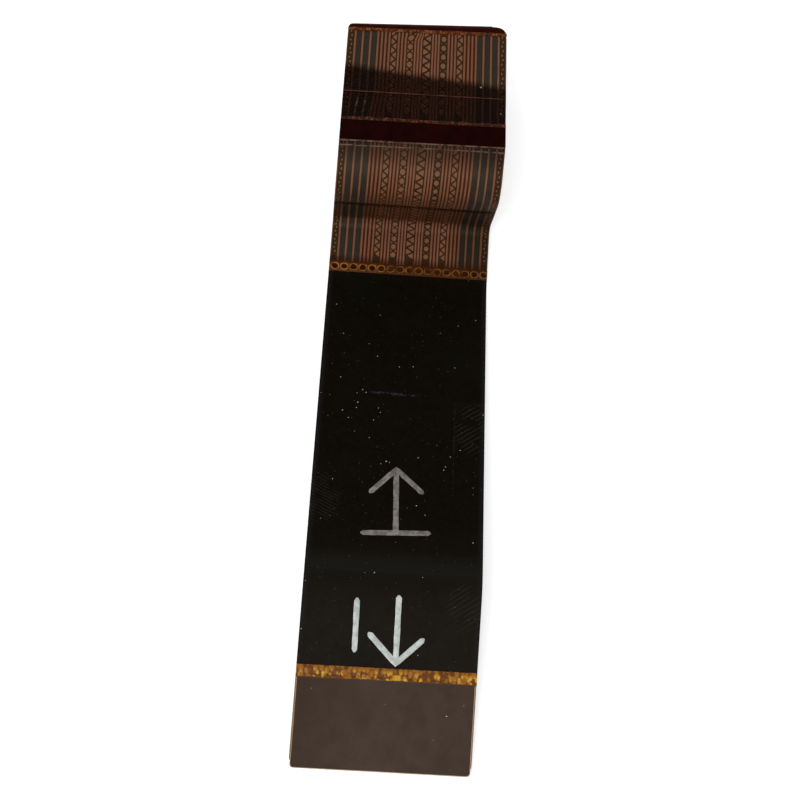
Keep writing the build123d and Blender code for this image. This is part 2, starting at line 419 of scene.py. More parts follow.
class Paint:
    """The nodes of one material. Its coordinates are millimetres across, along and up the cable."""

    warm = (1.0, 0.8, 0.62, 1.0)

    def __init__(self, name, roughness=0.5, specular=0.3, metallic=0.0, coat=0.0, coat_roughness=0.1):
        self.material = bpy.data.materials.new(name)
        self.material.use_nodes = True
        self.tree = self.material.node_tree
        self.tree.nodes.clear()
        settings = {"Roughness": roughness, "Specular IOR Level": specular, "Metallic": metallic,
                    "Specular Tint": self.warm, "Coat Weight": coat, "Coat Roughness": coat_roughness}
        self.shader = self.node("ShaderNodeBsdfPrincipled", settings)
        self.node("ShaderNodeOutputMaterial", {0: Value(self, self.shader.outputs[0])})
        self.lay = self.value("ShaderNodeAttribute", output="Vector", attribute_name="lay")
        self.across, self.along, self.up = self.split("XYZ", self.lay)

    def feed(self, socket, value):
        """Links a varying value to a socket, or sets a plain number or colour on it."""
        if isinstance(value, Value):
            self.tree.links.new(value.socket, socket)
        else:
            socket.default_value = value

    def node(self, kind, inputs=None, **settings):
        """A new node with its settings made and its inputs fed."""
        made = self.tree.nodes.new(kind)
        for key, value in settings.items():
            setattr(made, key, value)
        for key, value in (inputs or {}).items():
            self.feed(made.inputs[key], value)
        return made

    def value(self, kind, inputs=None, output=0, **settings):
        """The value that a new node gives."""
        return Value(self, self.node(kind, inputs, **settings).outputs[output])

    def split(self, kind, value):
        """The three parts of a place (XYZ) or a colour (Color)."""
        return [Value(self, part) for part in self.node(f"ShaderNodeSeparate{kind}", {0: value}).outputs]

    def math(self, operation, first, second=0.0):
        return self.value("ShaderNodeMath", {0: first, 1: second}, operation=operation)

    def fade(self, value, start, stop, low=0.0, high=1.0):
        """low before start, high after stop, and an even curve between them."""
        inputs = {"Value": value, "From Min": start, "From Max": stop, "To Min": low, "To Max": high}
        return self.value("ShaderNodeMapRange", inputs, interpolation_type="SMOOTHSTEP")

    def line(self, value, middle, width):
        """1 at the middle and 0 one width away on both sides."""
        return self.fade(abs(value - middle), width, 0.0)

    def stretched(self, across=1.0, along=1.0, turn=0.0):
        """The coordinates turned and stretched, for marks that run one way."""
        inputs = {"Vector": self.lay, "Rotation": (0, 0, math.radians(turn)),
                  "Scale": (1 / across, 1 / along, 1.0)}
        return self.value("ShaderNodeMapping", inputs, vector_type="TEXTURE")

    def noise(self, scale, detail=3.0, vector=None):
        inputs = {"Vector": vector or self.lay, "Scale": scale, "Detail": detail, "Roughness": 0.55}
        return self.value("ShaderNodeTexNoise", inputs, "Fac")

    def cells(self, scale, output="Distance", vector=None, flat=True):
        inputs = {"Vector": vector or self.lay, "Scale": scale}
        return self.value("ShaderNodeTexVoronoi", inputs, output, voronoi_dimensions="2D" if flat else "3D")

    def mix(self, factor, first, second):
        return self.value("ShaderNodeMix", {0: factor, 6: first, 7: second}, 2, data_type="RGBA")

    def bump(self, height, distance, strength=1.0, under=None):
        inputs = {"Height": height, "Distance": distance, "Strength": strength}
        if under:
            inputs["Normal"] = under
        return self.value("ShaderNodeBump", inputs)

    def rough(self, scale, low, high):
        """A roughness that drifts between two values."""
        return self.fade(self.noise(scale), 0.3, 0.7, low, high)

    def finish(self, base, roughness, normal):
        """Feeds the shader and returns the material."""
        for name, value in (("Base Color", base), ("Roughness", roughness), ("Normal", normal)):
            self.feed(self.shader.inputs[name], value)
        return self.material


def painted_shade(paint, tone, dark):
    """Painted shade over a tone: past the strip, in and below the crease, before the strip, at a corner and
    by the glue.
    """
    fade, across, along = paint.fade, paint.across, paint.along
    crease, fold = crease_station / mm, strip_start / mm
    slanted = along + across * 0.126 + paint.noise(0.5) * 0.5
    # Bands of painted shade: past the strip, in the crease and on the riser below it, before the strip and at
    # a low corner
    by_strip = fade(slanted, 79.0, 77.8) * fade(along, 70.8, 71.8)
    in_crease = fade(along, crease + 0.3, crease + 0.05) * fade(along, crease - 1.1, crease - 0.4)
    below = fade(along, crease, crease - 0.3) * fade(along, 56.9, 57.9)
    before_strip = fade(along, fold - 2.8, fold - 0.5) * fade(along, fold + 2.0, fold + 1.5)
    corner = fade(across, 3.2, 6.0) * fade(along, 60.8, 58.8)
    worst = by_strip | in_crease * 0.88 | below * 0.4 | before_strip * 0.68 | corner * 0.38
    # Painted shade beside the far glue
    by_film = fade(along + paint.noise(0.8), 53.6, 52.6)
    return paint.mix(by_film * 0.75, paint.mix(worst, tone, dark), colour(52, 23, 5))


def polyimide():
    """Base film: pinkish brown where it shows between the tracks, darker amber elsewhere."""
    paint = Paint("polyimide_base", roughness=0.42, specular=0.1)
    mottled = paint.mix(paint.noise(0.9, 4), colour(143, 97, 74), colour(168, 118, 92))
    warmer = paint.fade(paint.noise(0.35, 2), 0.45, 0.65) * 0.35
    mottled = paint.mix(warmer, mottled, colour(174, 110, 66))
    weave = paint.mix(paint.noise(9.0, 2) * 0.35, mottled, colour(122, 62, 30))
    # The gaps between the tracks, darkened by the windows' painted shade
    shown = painted_shade(paint, weave, colour(46, 22, 10))
    # A painted glint: paler lines between the tracks near the left edge of the first window
    painted_glint = paint.line(paint.along, 73.9, 1.3) * paint.line(paint.across, -6.2, 1.5)
    painted_glint = painted_glint * paint.fade(paint.noise(1.6), 0.42, 0.62)
    shown = paint.mix(painted_glint * 0.6, shown, colour(120, 102, 86))
    below = paint.mix(paint.noise(1.5), colour(66, 36, 16), colour(88, 50, 22))
    tone = paint.mix(paint.fade(paint.up, 0.12, 0.16), below, shown)
    rim = paint.fade(abs(paint.across), 7.83, 7.88) | paint.fade(paint.along, 0.12, 0.05)
    tone = paint.mix(rim * paint.fade(paint.along, 8.3, 7.9), tone, colour(164, 136, 102))
    return paint.finish(tone, paint.rough(3.0, 0.36, 0.5), paint.bump(paint.noise(7.0), 0.006 * mm))


def copper(name, light, dark, shade_tone):
    """Foil seen through a tinted film, with the brushed streaks of the rolled sheet."""
    paint = Paint(name, roughness=0.42, specular=0.1, metallic=0.1)
    streaks = paint.noise(2.0, 4, paint.stretched(6.0, 0.5))
    # The streaked tone, darkened towards the given dark colour by the windows' painted shade
    tone = painted_shade(paint, paint.mix(streaks, light, dark), shade_tone)
    tone = paint.mix(paint.fade(paint.up, 0.198, 0.204), colour(150, 84, 44), tone)
    normal = paint.bump(paint.noise(5.0, 3, paint.stretched(5.0, 1.0)), 0.004 * mm)
    return paint.finish(tone, paint.fade(streaks, 0.3, 0.7, 0.34, 0.5), normal)


def clear_film():
    """The coverlay: thin, clear and a little warm."""
    paint = Paint("clear_coverlay", specular=0.08)
    paint.shader.inputs["Alpha"].default_value = 0.1
    tone = paint.mix(paint.noise(1.2, 4), colour(38, 20, 11), colour(26, 12, 7))
    return paint.finish(tone, paint.rough(2.5, 0.3, 0.42), paint.bump(paint.noise(1.4), 0.02 * mm))


def dust(paint, tone, amount, size=0.055, speck=colour(196, 198, 192)):
    """Scatters small pale specks over a tone. amount is the share of the cells that hold one."""
    pick, reach, shade = paint.split("Color", paint.cells(1.15, "Color"))
    crowd = paint.fade(paint.noise(0.16, 1), 0.4, 0.65, amount * 0.5, amount * 1.7)
    spot = (pick < crowd) * (paint.cells(1.15) < reach * size) * paint.fade(shade, 0.0, 1.0, 0.3, 1.0)
    few = paint.split("Color", paint.cells(3.1, "Color"))[2] < amount * 0.5
    fine = (paint.cells(3.1) < 0.045) * few
    return paint.mix(spot | fine * 0.5, tone, speck)


def scuffs(paint, turn, pitch, x, station, reach_x, reach_station):
    """A patch of fine parallel lines, as pressing and rubbing leave in a matte film."""
    inputs = {"Vector": paint.stretched(turn=turn), "Scale": 2 * math.pi / 20 / pitch, "Distortion": 1.6,
              "Detail": 2.0, "Detail Scale": 1.2}
    lines = paint.value("ShaderNodeTexWave", inputs, "Fac", bands_direction="Y")
    lines = paint.fade(lines, 0.5, 0.95) * paint.fade(paint.noise(0.9, 2), 0.36, 0.5)
    dx, dy = (paint.across - x) / reach_x, (paint.along - station) / reach_station
    return lines * paint.fade(dx * dx + dy * dy, 1.0, 0.3)


def imprint(paint, x, near, far):
    """The faint outline that something square left in the film: its side at x and its far end."""
    reach = paint.fade(paint.along, near, near + 0.4) * paint.fade(paint.along, far + 0.1, far)
    side = paint.line(paint.across, x, 0.09) * reach
    end = paint.line(paint.along, far, 0.1) * paint.fade(paint.across, x - 0.1, x)
    return (side | end) * paint.fade(paint.noise(2.6), 0.4, 0.56)


def black_film(name, wear_and_highlight):
    """Matte black shielding film with fine grain, painted sheen towards the near end, a painted highlight
    along its edges and, on the worn side, a painted highlight over the arch, dust and scuffs.
    """
    paint = Paint(name, roughness=0.6, specular=0.05)
    tone = paint.mix(paint.noise(0.35, 5), colour(6, 3, 1), colour(12, 8, 3))
    tone = paint.mix(paint.fade(paint.noise(2.3, 5), 0.42, 0.6) * 0.35, tone, colour(17, 13, 8))
    tone = paint.mix(paint.fade(paint.noise(0.14, 2), 0.5, 0.66) * 0.4, tone, colour(12, 14, 8))
    # Painted sheen: lighter and greyer towards the near end, where the film faces the light
    painted_sheen_tone = paint.mix(paint.noise(0.5, 4), colour(20, 17, 14), colour(28, 25, 21))
    tone = paint.mix(paint.fade(paint.along, 24.3, 10.3), tone, painted_sheen_tone)
    # A painted highlight along both long edges
    tone = paint.mix(paint.fade(abs(paint.across), 7.35, 7.9) * 0.5, tone, colour(30, 29, 30))
    height = paint.noise(4.5, 4)
    if wear_and_highlight:
        # A painted highlight of the bend: a pale band over the arch with a streak in it
        streak = paint.line(paint.along + paint.noise(0.7, 2) * 0.5, highlight_streak_middle, highlight_streak_width)
        pale = paint.line(paint.along, highlight_middle, highlight_width) * 0.6 | streak * 0.8
        tone = paint.mix(pale, tone, colour(24, 26, 23))
        marks = scuffs(paint, *scuff_patches[0])
        for patch in scuff_patches[1:]:
            marks = marks | scuffs(paint, *patch)
        tone = paint.mix(marks * 0.55, tone, colour(34, 35, 31))
        tone = paint.mix(imprint(paint, *imprint_place) * 0.5, tone, colour(40, 38, 34))
        rubbed = paint.line(paint.along + paint.noise(1.6, 4) * 0.6, rubbed_middle, rubbed_width)
        rubbed = rubbed * paint.fade(paint.noise(3.5, 2), 0.4, 0.58)
        ends = paint.fade(paint.across, -4.4, -2.0) * paint.fade(paint.across, 2.4, 0.4)
        tone = dust(paint, paint.mix(rubbed * ends, tone, colour(52, 47, 58)), 0.075)
        height = height - marks * 0.8
    normal = paint.bump(paint.noise(0.6, 2), 0.05 * mm, under=paint.bump(height, 0.008 * mm))
    return paint.finish(tone, paint.rough(2.2, 0.5, 0.68), normal)


def red_film(name, light, dark):
    """Dark red film with a soft shine and a few fine scratches."""
    paint = Paint(name, roughness=0.4, specular=0.03)
    tone = paint.mix(paint.fade(paint.noise(0.8, 4), 0.32, 0.68), light, dark)
    scratch = paint.fade(paint.noise(1.2, 2, paint.stretched(0.4, 7.0, 4)), 0.68, 0.76)
    tone = paint.mix(scratch * 0.15, tone, colour(70, 26, 22))
    return paint.finish(tone, paint.rough(1.9, 0.26, 0.42), paint.bump(paint.noise(2.4), 0.012 * mm))


def glue(name, body, bright, pit, grain, bright_end=None):
    """Set amber glue: lumpy, with a painted highlight on its crowns and painted shade in its pits."""
    paint = Paint(name, roughness=0.45, specular=0.18, coat=0.06, coat_roughness=0.2)
    lumps = paint.cells(grain, vector=paint.stretched(1.25, 0.8), flat=False)
    patch = paint.fade(paint.noise(1.3), 0.4, 0.58)
    if bright_end:
        patch = patch * paint.fade(paint.along, bright_end, bright_end - 0.4)
    # Painted highlight: the bright tone in patches on the crowns of the lumps
    tone = paint.mix(patch * paint.fade(lumps, 0.62, 0.3), body, bright)
    # Painted shade: the pit tone in the hollows between the lumps
    deep = paint.fade(lumps + paint.noise(2.6, 4) * 0.6, 0.7, 1.0)
    tone = paint.mix(deep * 0.85, tone, pit)
    return paint.finish(tone, paint.rough(4.0, 0.36, 0.56), paint.bump(1.0 - lumps, 0.04 * mm, 0.7))


def oval_glue():
    """The glue at the black film's far edge: an amber network round dark ovals."""
    paint = Paint("oval_glue", roughness=0.42, specular=0.08)
    left = paint.fade(paint.across, -2.0, -3.6)
    clear = left | paint.fade(paint.across, 5.2, 6.2)
    amber = paint.mix(paint.noise(1.3, 4), colour(56, 25, 6), colour(84, 42, 12))
    lighter = paint.mix(paint.noise(1.5, 4), colour(74, 37, 8), colour(114, 66, 20))
    amber = paint.mix(left, amber, lighter)
    wobble = (paint.noise(2.2) - 0.5) * paint.fade(clear, 0.0, 1.0, 2.4, 0.9)
    turns_across = paint.across / (oval_pitch / mm) + (50.0 + oval_shift / oval_pitch)
    dx = (paint.math("FRACT", turns_across) - 0.5) * (oval_pitch / oval_half_width)
    dy = (paint.along - (film_end + window_start) / 2 / mm) / (oval_half_length / mm)
    away = dx * dx + dy * dy + wobble
    hollow = paint.fade(away, 1.3, 0.8) * paint.fade(clear, 0.0, 1.0, 0.6, 1.0)
    spots = paint.fade(paint.noise(3.2, 4), 0.5, 0.62) * paint.fade(left, 0.0, 1.0, 0.75, 0.3)
    tone = paint.mix(hollow, paint.mix(spots, amber, colour(42, 17, 5)), colour(36, 14, 3))
    rings = paint.line(away, 1.75, 0.75) * paint.fade(paint.noise(1.9), 0.36, 0.56)
    tone = paint.mix(rings * paint.fade(left, 0.0, 1.0, 0.42, 0.85), tone, colour(172, 118, 54))
    between = paint.fade(away, 2.6, 4.2) * paint.fade(paint.noise(2.8), 0.4, 0.6)
    tone = paint.mix(between * 0.7, tone, colour(58, 26, 8))
    rim = paint.fade(dy, -1.7, -2.05) | paint.fade(dy, 1.2, 1.9)
    tone = paint.mix(rim * 0.75, tone, colour(66, 30, 8))
    return paint.finish(tone, paint.rough(5.0, 0.34, 0.5), paint.bump(paint.noise(6.0), 0.02 * mm))


def board(name, light, dark, speck_amount=0.0):
    """Matte stiffener: a fine mottle with a few specks, painted shade to the left and a painted shadow under
    the glue.
    """
    paint = Paint(name, roughness=0.55, specular=0.07)
    tone = paint.mix(paint.fade(paint.noise(0.6, 6), 0.2, 0.8), light, dark)
    # Painted shade towards the left edge
    tone = paint.mix(paint.fade(paint.across, 0.5, -7.5, 0.0, 0.5), tone, colour(52, 40, 34))
    # A painted shadow under the glue at the far end
    tone = paint.mix(paint.fade(paint.along, 7.72, 7.86), tone, colour(80, 58, 40))
    tone = paint.mix(paint.noise(3.0, 3, paint.stretched(0.5, 5.0)) * 0.3, tone, dark)
    if speck_amount:
        tone = dust(paint, tone, speck_amount, 0.05, colour(150, 140, 130))
    return paint.finish(tone, paint.rough(2.0, 0.46, 0.64), paint.bump(paint.noise(5.0, 4), 0.01 * mm))


def moulding():
    """Dark moulded plastic with a fine grain."""
    paint = Paint("plug_moulding", roughness=0.5, specular=0.4)
    tone = paint.mix(paint.noise(1.5, 4), colour(30, 29, 28), colour(44, 42, 40))
    return paint.finish(tone, paint.rough(6.0, 0.42, 0.6), paint.bump(paint.noise(14.0, 2), 0.006 * mm))


def plated(name, light, dark):
    """Plated contact metal with soft drawing marks and a dull patch here and there."""
    paint = Paint(name, roughness=0.28, metallic=1.0)
    tone = paint.mix(paint.noise(2.5, 4), light, dark)
    normal = paint.bump(paint.noise(6.0, 2, paint.stretched(6.0, 1.0)), 0.004 * mm)
    return paint.finish(tone, paint.rough(5.0, 0.2, 0.42), normal)


def patchy(name, first, second, roughness, specular, patches, grain):
    """Two tones in patches of (scale, detail, start, stop), with a bump of (scale, detail, depth in mm)."""
    paint = Paint(name, roughness=roughness, specular=specular)
    tone = paint.mix(paint.fade(paint.noise(*patches[:2]), *patches[2:]), first, second)
    return paint.finish(tone, roughness, paint.bump(paint.noise(*grain[:2]), grain[2] * mm))


def marker(name, light, dark):
    """Dry marker paint, a little streaky."""
    return patchy(name, light, dark, 0.62, 0.12, (1.8, 5, 0.35, 0.7), (8.0, 3, 0.01))


polyimide_look = polyimide()
# Each copper's last colour is the dark tone of its painted shade
wide_copper = copper("copper_wide", colour(66, 60, 50), colour(52, 46, 37), colour(11, 4, 2))
hatch_copper = copper("copper_hatch", colour(70, 53, 31), colour(52, 39, 23), colour(18, 6, 2))
narrow_copper = copper("copper_narrow", colour(84, 46, 28), colour(62, 33, 18), colour(20, 6, 2))
clear_look = clear_film()
top_black = black_film("black_film_top", True)
under_black = black_film("black_film_under", False)
# The strip's red is the end cover's film made darker: painted shade
shaded_strip_red = red_film("shaded_strip_red", colour(30, 3, 2), colour(20, 1, 1))
end_red = red_film("end_red", colour(50, 9, 3), colour(39, 5, 2))
# Film that went pale where it was bent sharply, partly a painted highlight on the fold, and the pinkish edge
# of the inner film at the ridge
white_crease = patchy("whitened_and_highlit_crease", colour(44, 25, 18), colour(98, 80, 69), 0.55, 0.12,
                      (1.7, 5, 0.36, 0.6), (12.0, 2, 0.01))
ridge_look = patchy("ridge_pink", colour(50, 21, 14), colour(88, 45, 34), 0.5, 0.3,
                    (1.1, 4, 0.35, 0.6), (9.0, 2, 0.006))
# Glue colours as body, painted highlight on the crowns and painted shade in the pits
gold_glue = glue("gold_glue", colour(146, 92, 28), colour(202, 154, 46), colour(82, 44, 14), 2.2,
                 plate_length / mm + 0.85)
brown_glue = glue("brown_glue", colour(52, 20, 10), colour(104, 52, 20), colour(28, 8, 5), 4.0)
amber_glue = glue("amber_glue", colour(98, 47, 14), colour(132, 74, 26), colour(50, 18, 6), 3.4)
oval_look = oval_glue()
plate_look = board("plate_face", colour(76, 62, 55), colour(63, 51, 44), 0.03)
plate_edge = board("plate_edge", colour(208, 180, 142), colour(176, 146, 106))
plug_look = moulding()
gold_contact = plated("contact_gold", colour(214, 172, 92), colour(176, 132, 62))
tin_tab = plated("tab_tin", colour(186, 182, 172), colour(150, 146, 138))
white_ink = marker("marker_white", colour(170, 176, 172), colour(206, 211, 208))
grey_ink = marker("marker_grey", colour(94, 90, 86), colour(138, 133, 126))
speck_look = marker("dust_grain", colour(150, 140, 130), colour(206, 202, 196))


def build_films():
    """The sheets of the laminate, from the table side up."""
    wide = spread(-half_width, half_width, 24)
    sheets = [
        ("base_laminate", 0, cable_length, base_low, copper_low, polyimide_look, "base_polyimide",
         "base_film"),
        ("black_film_lower", film_start, film_end, 0, base_low, under_black, "black_film",
         "lower_shield_film"),
        ("black_film_upper", film_start, film_end, coverlay_top, film_top, top_black, "black_film",
         "upper_shield_film"),
        ("end_cover_film", end_bead_end, cable_length, coverlay_top, film_top, end_red, "red_film",
         "red_end_cover"),
    ]
    for name, start, stop, low, high, look, slot, node in sheets:
        piece = Piece(name)
        piece.band(wide, stations(start, stop), low, high)
        piece.build([look], slot, [node], bevel=0.012 * mm)


def build_coverlay(tracks):
    """The clear film, a little lower between the tracks than over them."""
    dip = 0.012 * mm
    xs = {-half_width, half_width}
    for left, right in tracks.values():
        xs.update((left, right, left - copper_gap / 2, right + copper_gap / 2))
    xs = [x for x in sorted(xs) if abs(x) <= half_width]

    def top(x, station):
        over = any(left - 1e-9 <= x <= right + 1e-9 for left, right in tracks.values())
        return coverlay_top if over else coverlay_top - dip

    piece = Piece("clear_coverlay_film")
    piece.band(xs, stations(0, cable_length), coverlay_low + coverlay_clearance, top)
    piece.points = [(wander(x, s), s, h) for x, s, h in piece.points]
    piece.build([clear_look], "clear_coverlay", ["upper_coverlay"])


def track_layout():
    """Each conductor as name: (left, right), mirrored about the centre line."""
    outward = []
    for group in ("inner", "outer"):
        outward += [(f"{group}_pair_{i}", pair_widths[group]) for i in (1, 2)]
        outward.append((f"{group}_ground_hatch", hatch_widths[group]))
    outward += [(f"signal_track_{i}", signal_width) for i in (1, 2, 3)]
    inside = center_hatch_width / 2 + copper_gap
    power_inside = inside + sum(width + copper_gap for name, width in outward)
    edge_inside = half_width - edge_margin - ground_edge_width
    power_width = (edge_inside - power_inside) / power_count - copper_gap
    outward += [(f"power_track_{i + 1}", power_width) for i in range(power_count)]
    outward += [("ground_edge", ground_edge_width)]
    tracks = {"ground_hatch_center": (-center_hatch_width / 2, center_hatch_width / 2)}
    for name, width in outward:
        tracks[f"left_{name}"] = (-inside - width, -inside)
        tracks[f"right_{name}"] = (inside, inside + width)
        inside += width + copper_gap
    return tracks


def wander(x, station):
    """The left tracks lean outward just past the red strip, and a few jog inward at the far glue."""
    lean = smooth(station, 70.5 * mm, 72.2 * mm) * (1 - smooth(station, 72.3 * mm, ridge_station))
    side = smooth(-x, 1.5 * mm, 5.0 * mm) * (1 - smooth(-x, 6.6 * mm, 7.85 * mm))
    jog = smooth(station, 82.9 * mm, 83.9 * mm) * bell(x, -1.2 * mm, 0.9 * mm)
    return x - lean_reach * lean * side + jog_reach * jog


def hatch_middles():
    """Stations and pitches of the hatch openings in both windows."""
    found = []
    windows = [(first_hatch, step_hatch_pitch, strip_start + step_hatch_pitch),
               (level_hatch_first, level_hatch_pitch, end_bead_start + level_hatch_pitch / 2)]
    for first, pitch, stop in windows:
        station = first
        while station < stop:
            found.append((station, pitch))
            station += pitch
    return found


def ring(x, station, half_x, half_s, count=12):
    """An oval outline."""
    angles = [2 * math.pi * i / count for i in range(count)]
    return [(x + half_x * math.cos(a), station + half_s * math.sin(a)) for a in angles]


def wedge(base, tip, station, half_s):
    """A triangle with blunt corners, from its base line to its tip."""
    cut = 0.14
    near = base + (tip - base) * cut
    end = tip - (tip - base) * cut * 0.6
    return [(base, station - half_s * (1 - cut)), (near, station - half_s * (1 - cut * 0.7)),
            (end, station - half_s * cut * 0.7), (end, station + half_s * cut * 0.7),
            (near, station + half_s * (1 - cut * 0.7)), (base, station + half_s * (1 - cut))]


def hatch_openings(name, left, right):
    """Outlines of the openings in one hatched ground."""
    inner_left, inner_right = left + hatch_rail, right - hatch_rail
    middle, reach = (left + right) / 2, right - left
    outlines = []
    for station, pitch in hatch_middles():
        between = station + pitch / 2
        if name == "right_inner_ground_hatch":
            outlines.append(ring(middle, station, reach * 0.29, pitch * 0.31))
            for x in (inner_left + reach * 0.05, inner_right - reach * 0.05):
                outlines.append(ring(x, between, reach * 0.055, pitch * 0.1, 8))
        elif name == "left_inner_ground_hatch":
            outlines.append(ring(middle, station, reach * 0.33, pitch * 0.34, 8))
            outlines.append(wedge(inner_right, middle + reach * 0.12, between, pitch * 0.2))
            outlines.append(wedge(inner_left, middle - reach * 0.12, between, pitch * 0.2))
        else:
            outlines.append(wedge(inner_right, left + reach * 0.3, station, pitch * 0.36))
            outlines.append(wedge(inner_left, right - reach * 0.3, between, pitch * 0.36))
    return outlines


def edge_openings(left, right):
    """Small openings along the ground strips at the cable's edges."""
    middle, reach = (left + right) / 2, right - left
    outlines = []
    for station, pitch in hatch_middles():
        for shift, sway in ((0.0, 0.08), (pitch / 2, -0.08)):
            outlines.append(ring(middle + reach * sway, station + shift, reach * 0.13, pitch * 0.15, 8))
    return outlines


def inside_outline(x, station, outline):
    """True where a point lies inside a closed outline."""
    found = False
    for (x1, s1), (x2, s2) in zip(outline, outline[1:] + outline[:1]):
        if (s1 > station) != (s2 > station) and x < (x2 - x1) * (station - s1) / (s2 - s1) + x1:
            found = not found
    return found


def pierced_track(name, left, right, outlines):
    """A track with openings: its sheet is cut into triangles and given the foil's thickness."""
    lines = stations(near_copper_setback, end_bend_start)
    points, edges = [], []
    for i, s in enumerate(lines):
        points += [(left / mm, s / mm), (right / mm, s / mm)]
        edges.append((2 * i, 2 * i + 1))
        if i:
            edges += [(2 * i - 2, 2 * i), (2 * i - 1, 2 * i + 1)]
    for outline in outlines:
        first = len(points)
        points += [(x / mm, s / mm) for x, s in outline]
        edges += [(first + i, first + (i + 1) % len(outline)) for i in range(len(outline))]
    flat, _, triangles, *_ = delaunay_2d_cdt([Vector(p) for p in points], edges, [], 0, 1e-5)
    sheet = []
    for triangle in triangles:
        x = sum(flat[i].x for i in triangle) / 3 * mm
        s = sum(flat[i].y for i in triangle) / 3 * mm
        near = [o for o in outlines if abs(o[0][1] - s) < level_hatch_pitch]
        if not any(inside_outline(x, s, outline) for outline in near):
            sheet.append(list(triangle))
    count = {}
    for triangle in sheet:
        for a, b in zip(triangle, triangle[1:] + triangle[:1]):
            count[(a, b)] = count.get((a, b), 0) + 1
    rims = [(a, b) for a, b in count if (b, a) not in count]
    n = len(flat)
    faces = sheet + [[n + i for i in reversed(t)] for t in sheet] + [[b, a, n + a, n + b] for a, b in rims]
    tops = [(wander(p.x * mm, p.y * mm), p.y * mm, coverlay_low) for p in flat]
    bottoms = [(x, s, copper_low) for x, s, height in tops]
    used = sorted({i for face in faces for i in face})
    number = {old: new for new, old in enumerate(used)}
    every = tops + bottoms
    piece = Piece(f"foil_{name}")
    piece.add([every[i] for i in used], [[number[i] for i in face] for face in faces])
    return piece


def build_tracks(tracks):
    """The copper conductors, each a foil of its own."""
    for name, (left, right) in tracks.items():
        look = hatch_copper
        if "hatch" in name:
            piece = pierced_track(name, left, right, hatch_openings(name, left, right))
        elif "edge" in name:
            piece = pierced_track(name, left, right, edge_openings(left, right))
        else:
            look = wide_copper if "power" in name else narrow_copper
            piece = Piece(f"foil_{name}")
            piece.band([left, right], stations(near_copper_setback, end_bend_start), copper_low, coverlay_low)
            piece.points = [(wander(x, s), s, h) for x, s, h in piece.points]
        piece.build([look], "copper", [name], sharp=30)


def ragged(station, amount, seed):
    """A line across the cable that strays a little to both sides of a station."""
    length = 0.7 * mm

    def line(x):
        stray = noise.noise((x / length, seed, 0.4)) + 0.5 * noise.noise((x / length * 2.7, seed, 8.4))
        return station + amount * stray
    return line


def mound(start, stop, rows, front, back, seed):
    """Lines across the cable between two ragged edges."""
    low, high = ragged(start, front, seed), ragged(stop, back, seed + 5)
    return [lambda x, t=t: low(x) * (1 - t) + high(x) * t for t in spread(0.0, 1.0, rows)]


def build_bead(name, node, start, stop, look, lump, seed, front, back, crest=bead_height, wall=0.0):
    """A line of set glue: a low mound with lumps and pits, which may climb a wall at its start."""
    across = spread(-half_width, half_width, int(cable_width / fine_step / 1.3))
    rows = max(6, int((stop - start) / fine_step))

    def top(x, station):
        share = min(max((station - start) / (stop - start), 0.0), 1.0)
        crown = bead_edge_height + (crest - bead_edge_height) * math.sin(math.pi * share) ** 0.7
        crown = max(crown, wall * (1 - smooth(share, 0.05, 0.5)))
        cell = noise.voronoi((x / lump, station / lump, seed))[0][0]
        rough = noise.noise((x / lump * 2, station / lump * 2, seed + 2)) * 0.2
        return coverlay_top + crown * (0.62 + 0.38 * max(0.0, 1 - cell * 1.1) + rough)

    piece = Piece(name)
    piece.band(across, mound(start, stop, rows, front, back, seed), coverlay_top - bead_sink, top)
    piece.build([look], "amber_glue", [node])


def build_oval_bead():
    """The glue line at the black film's far edge, with a row of oval hollows."""
    across = spread(-half_width, half_width, 300)
    lines = mound(film_end, window_start, 22, 0.03 * mm, 0.05 * mm, 9.0)
    middle = (film_end + window_start) / 2

    def top(x, station):
        dx = (((x + oval_shift) / oval_pitch + 50.0) % 1.0 - 0.5) * oval_pitch / oval_half_width
        dy = (station - middle) / oval_half_length
        clear = max(1 - smooth(x, -3.6 * mm, -2.0 * mm), smooth(x, 5.2 * mm, 6.2 * mm))
        stray = noise.noise((x / mm * 2.2, station / mm * 2.2, 0.5)) * (1.8 - 0.9 * clear)
        away = dx * dx + dy * dy + stray
        rim = 0.7 * smooth(away, 0.6, 1.4) - 0.3 * smooth(away, 1.6, 3.2)
        share = min(max((station - film_end) / (window_start - film_end), 0.0), 1.0)
        rounding = min(1.0, 4 * min(share, 1 - share) + 0.35)
        return coverlay_top + bead_height * rounding * (0.25 + rim)

    piece = Piece("glue_with_ovals")
    piece.band(across, lines, coverlay_top - bead_sink, top)
    piece.build([oval_look], "amber_glue", ["film_glue_bead"])


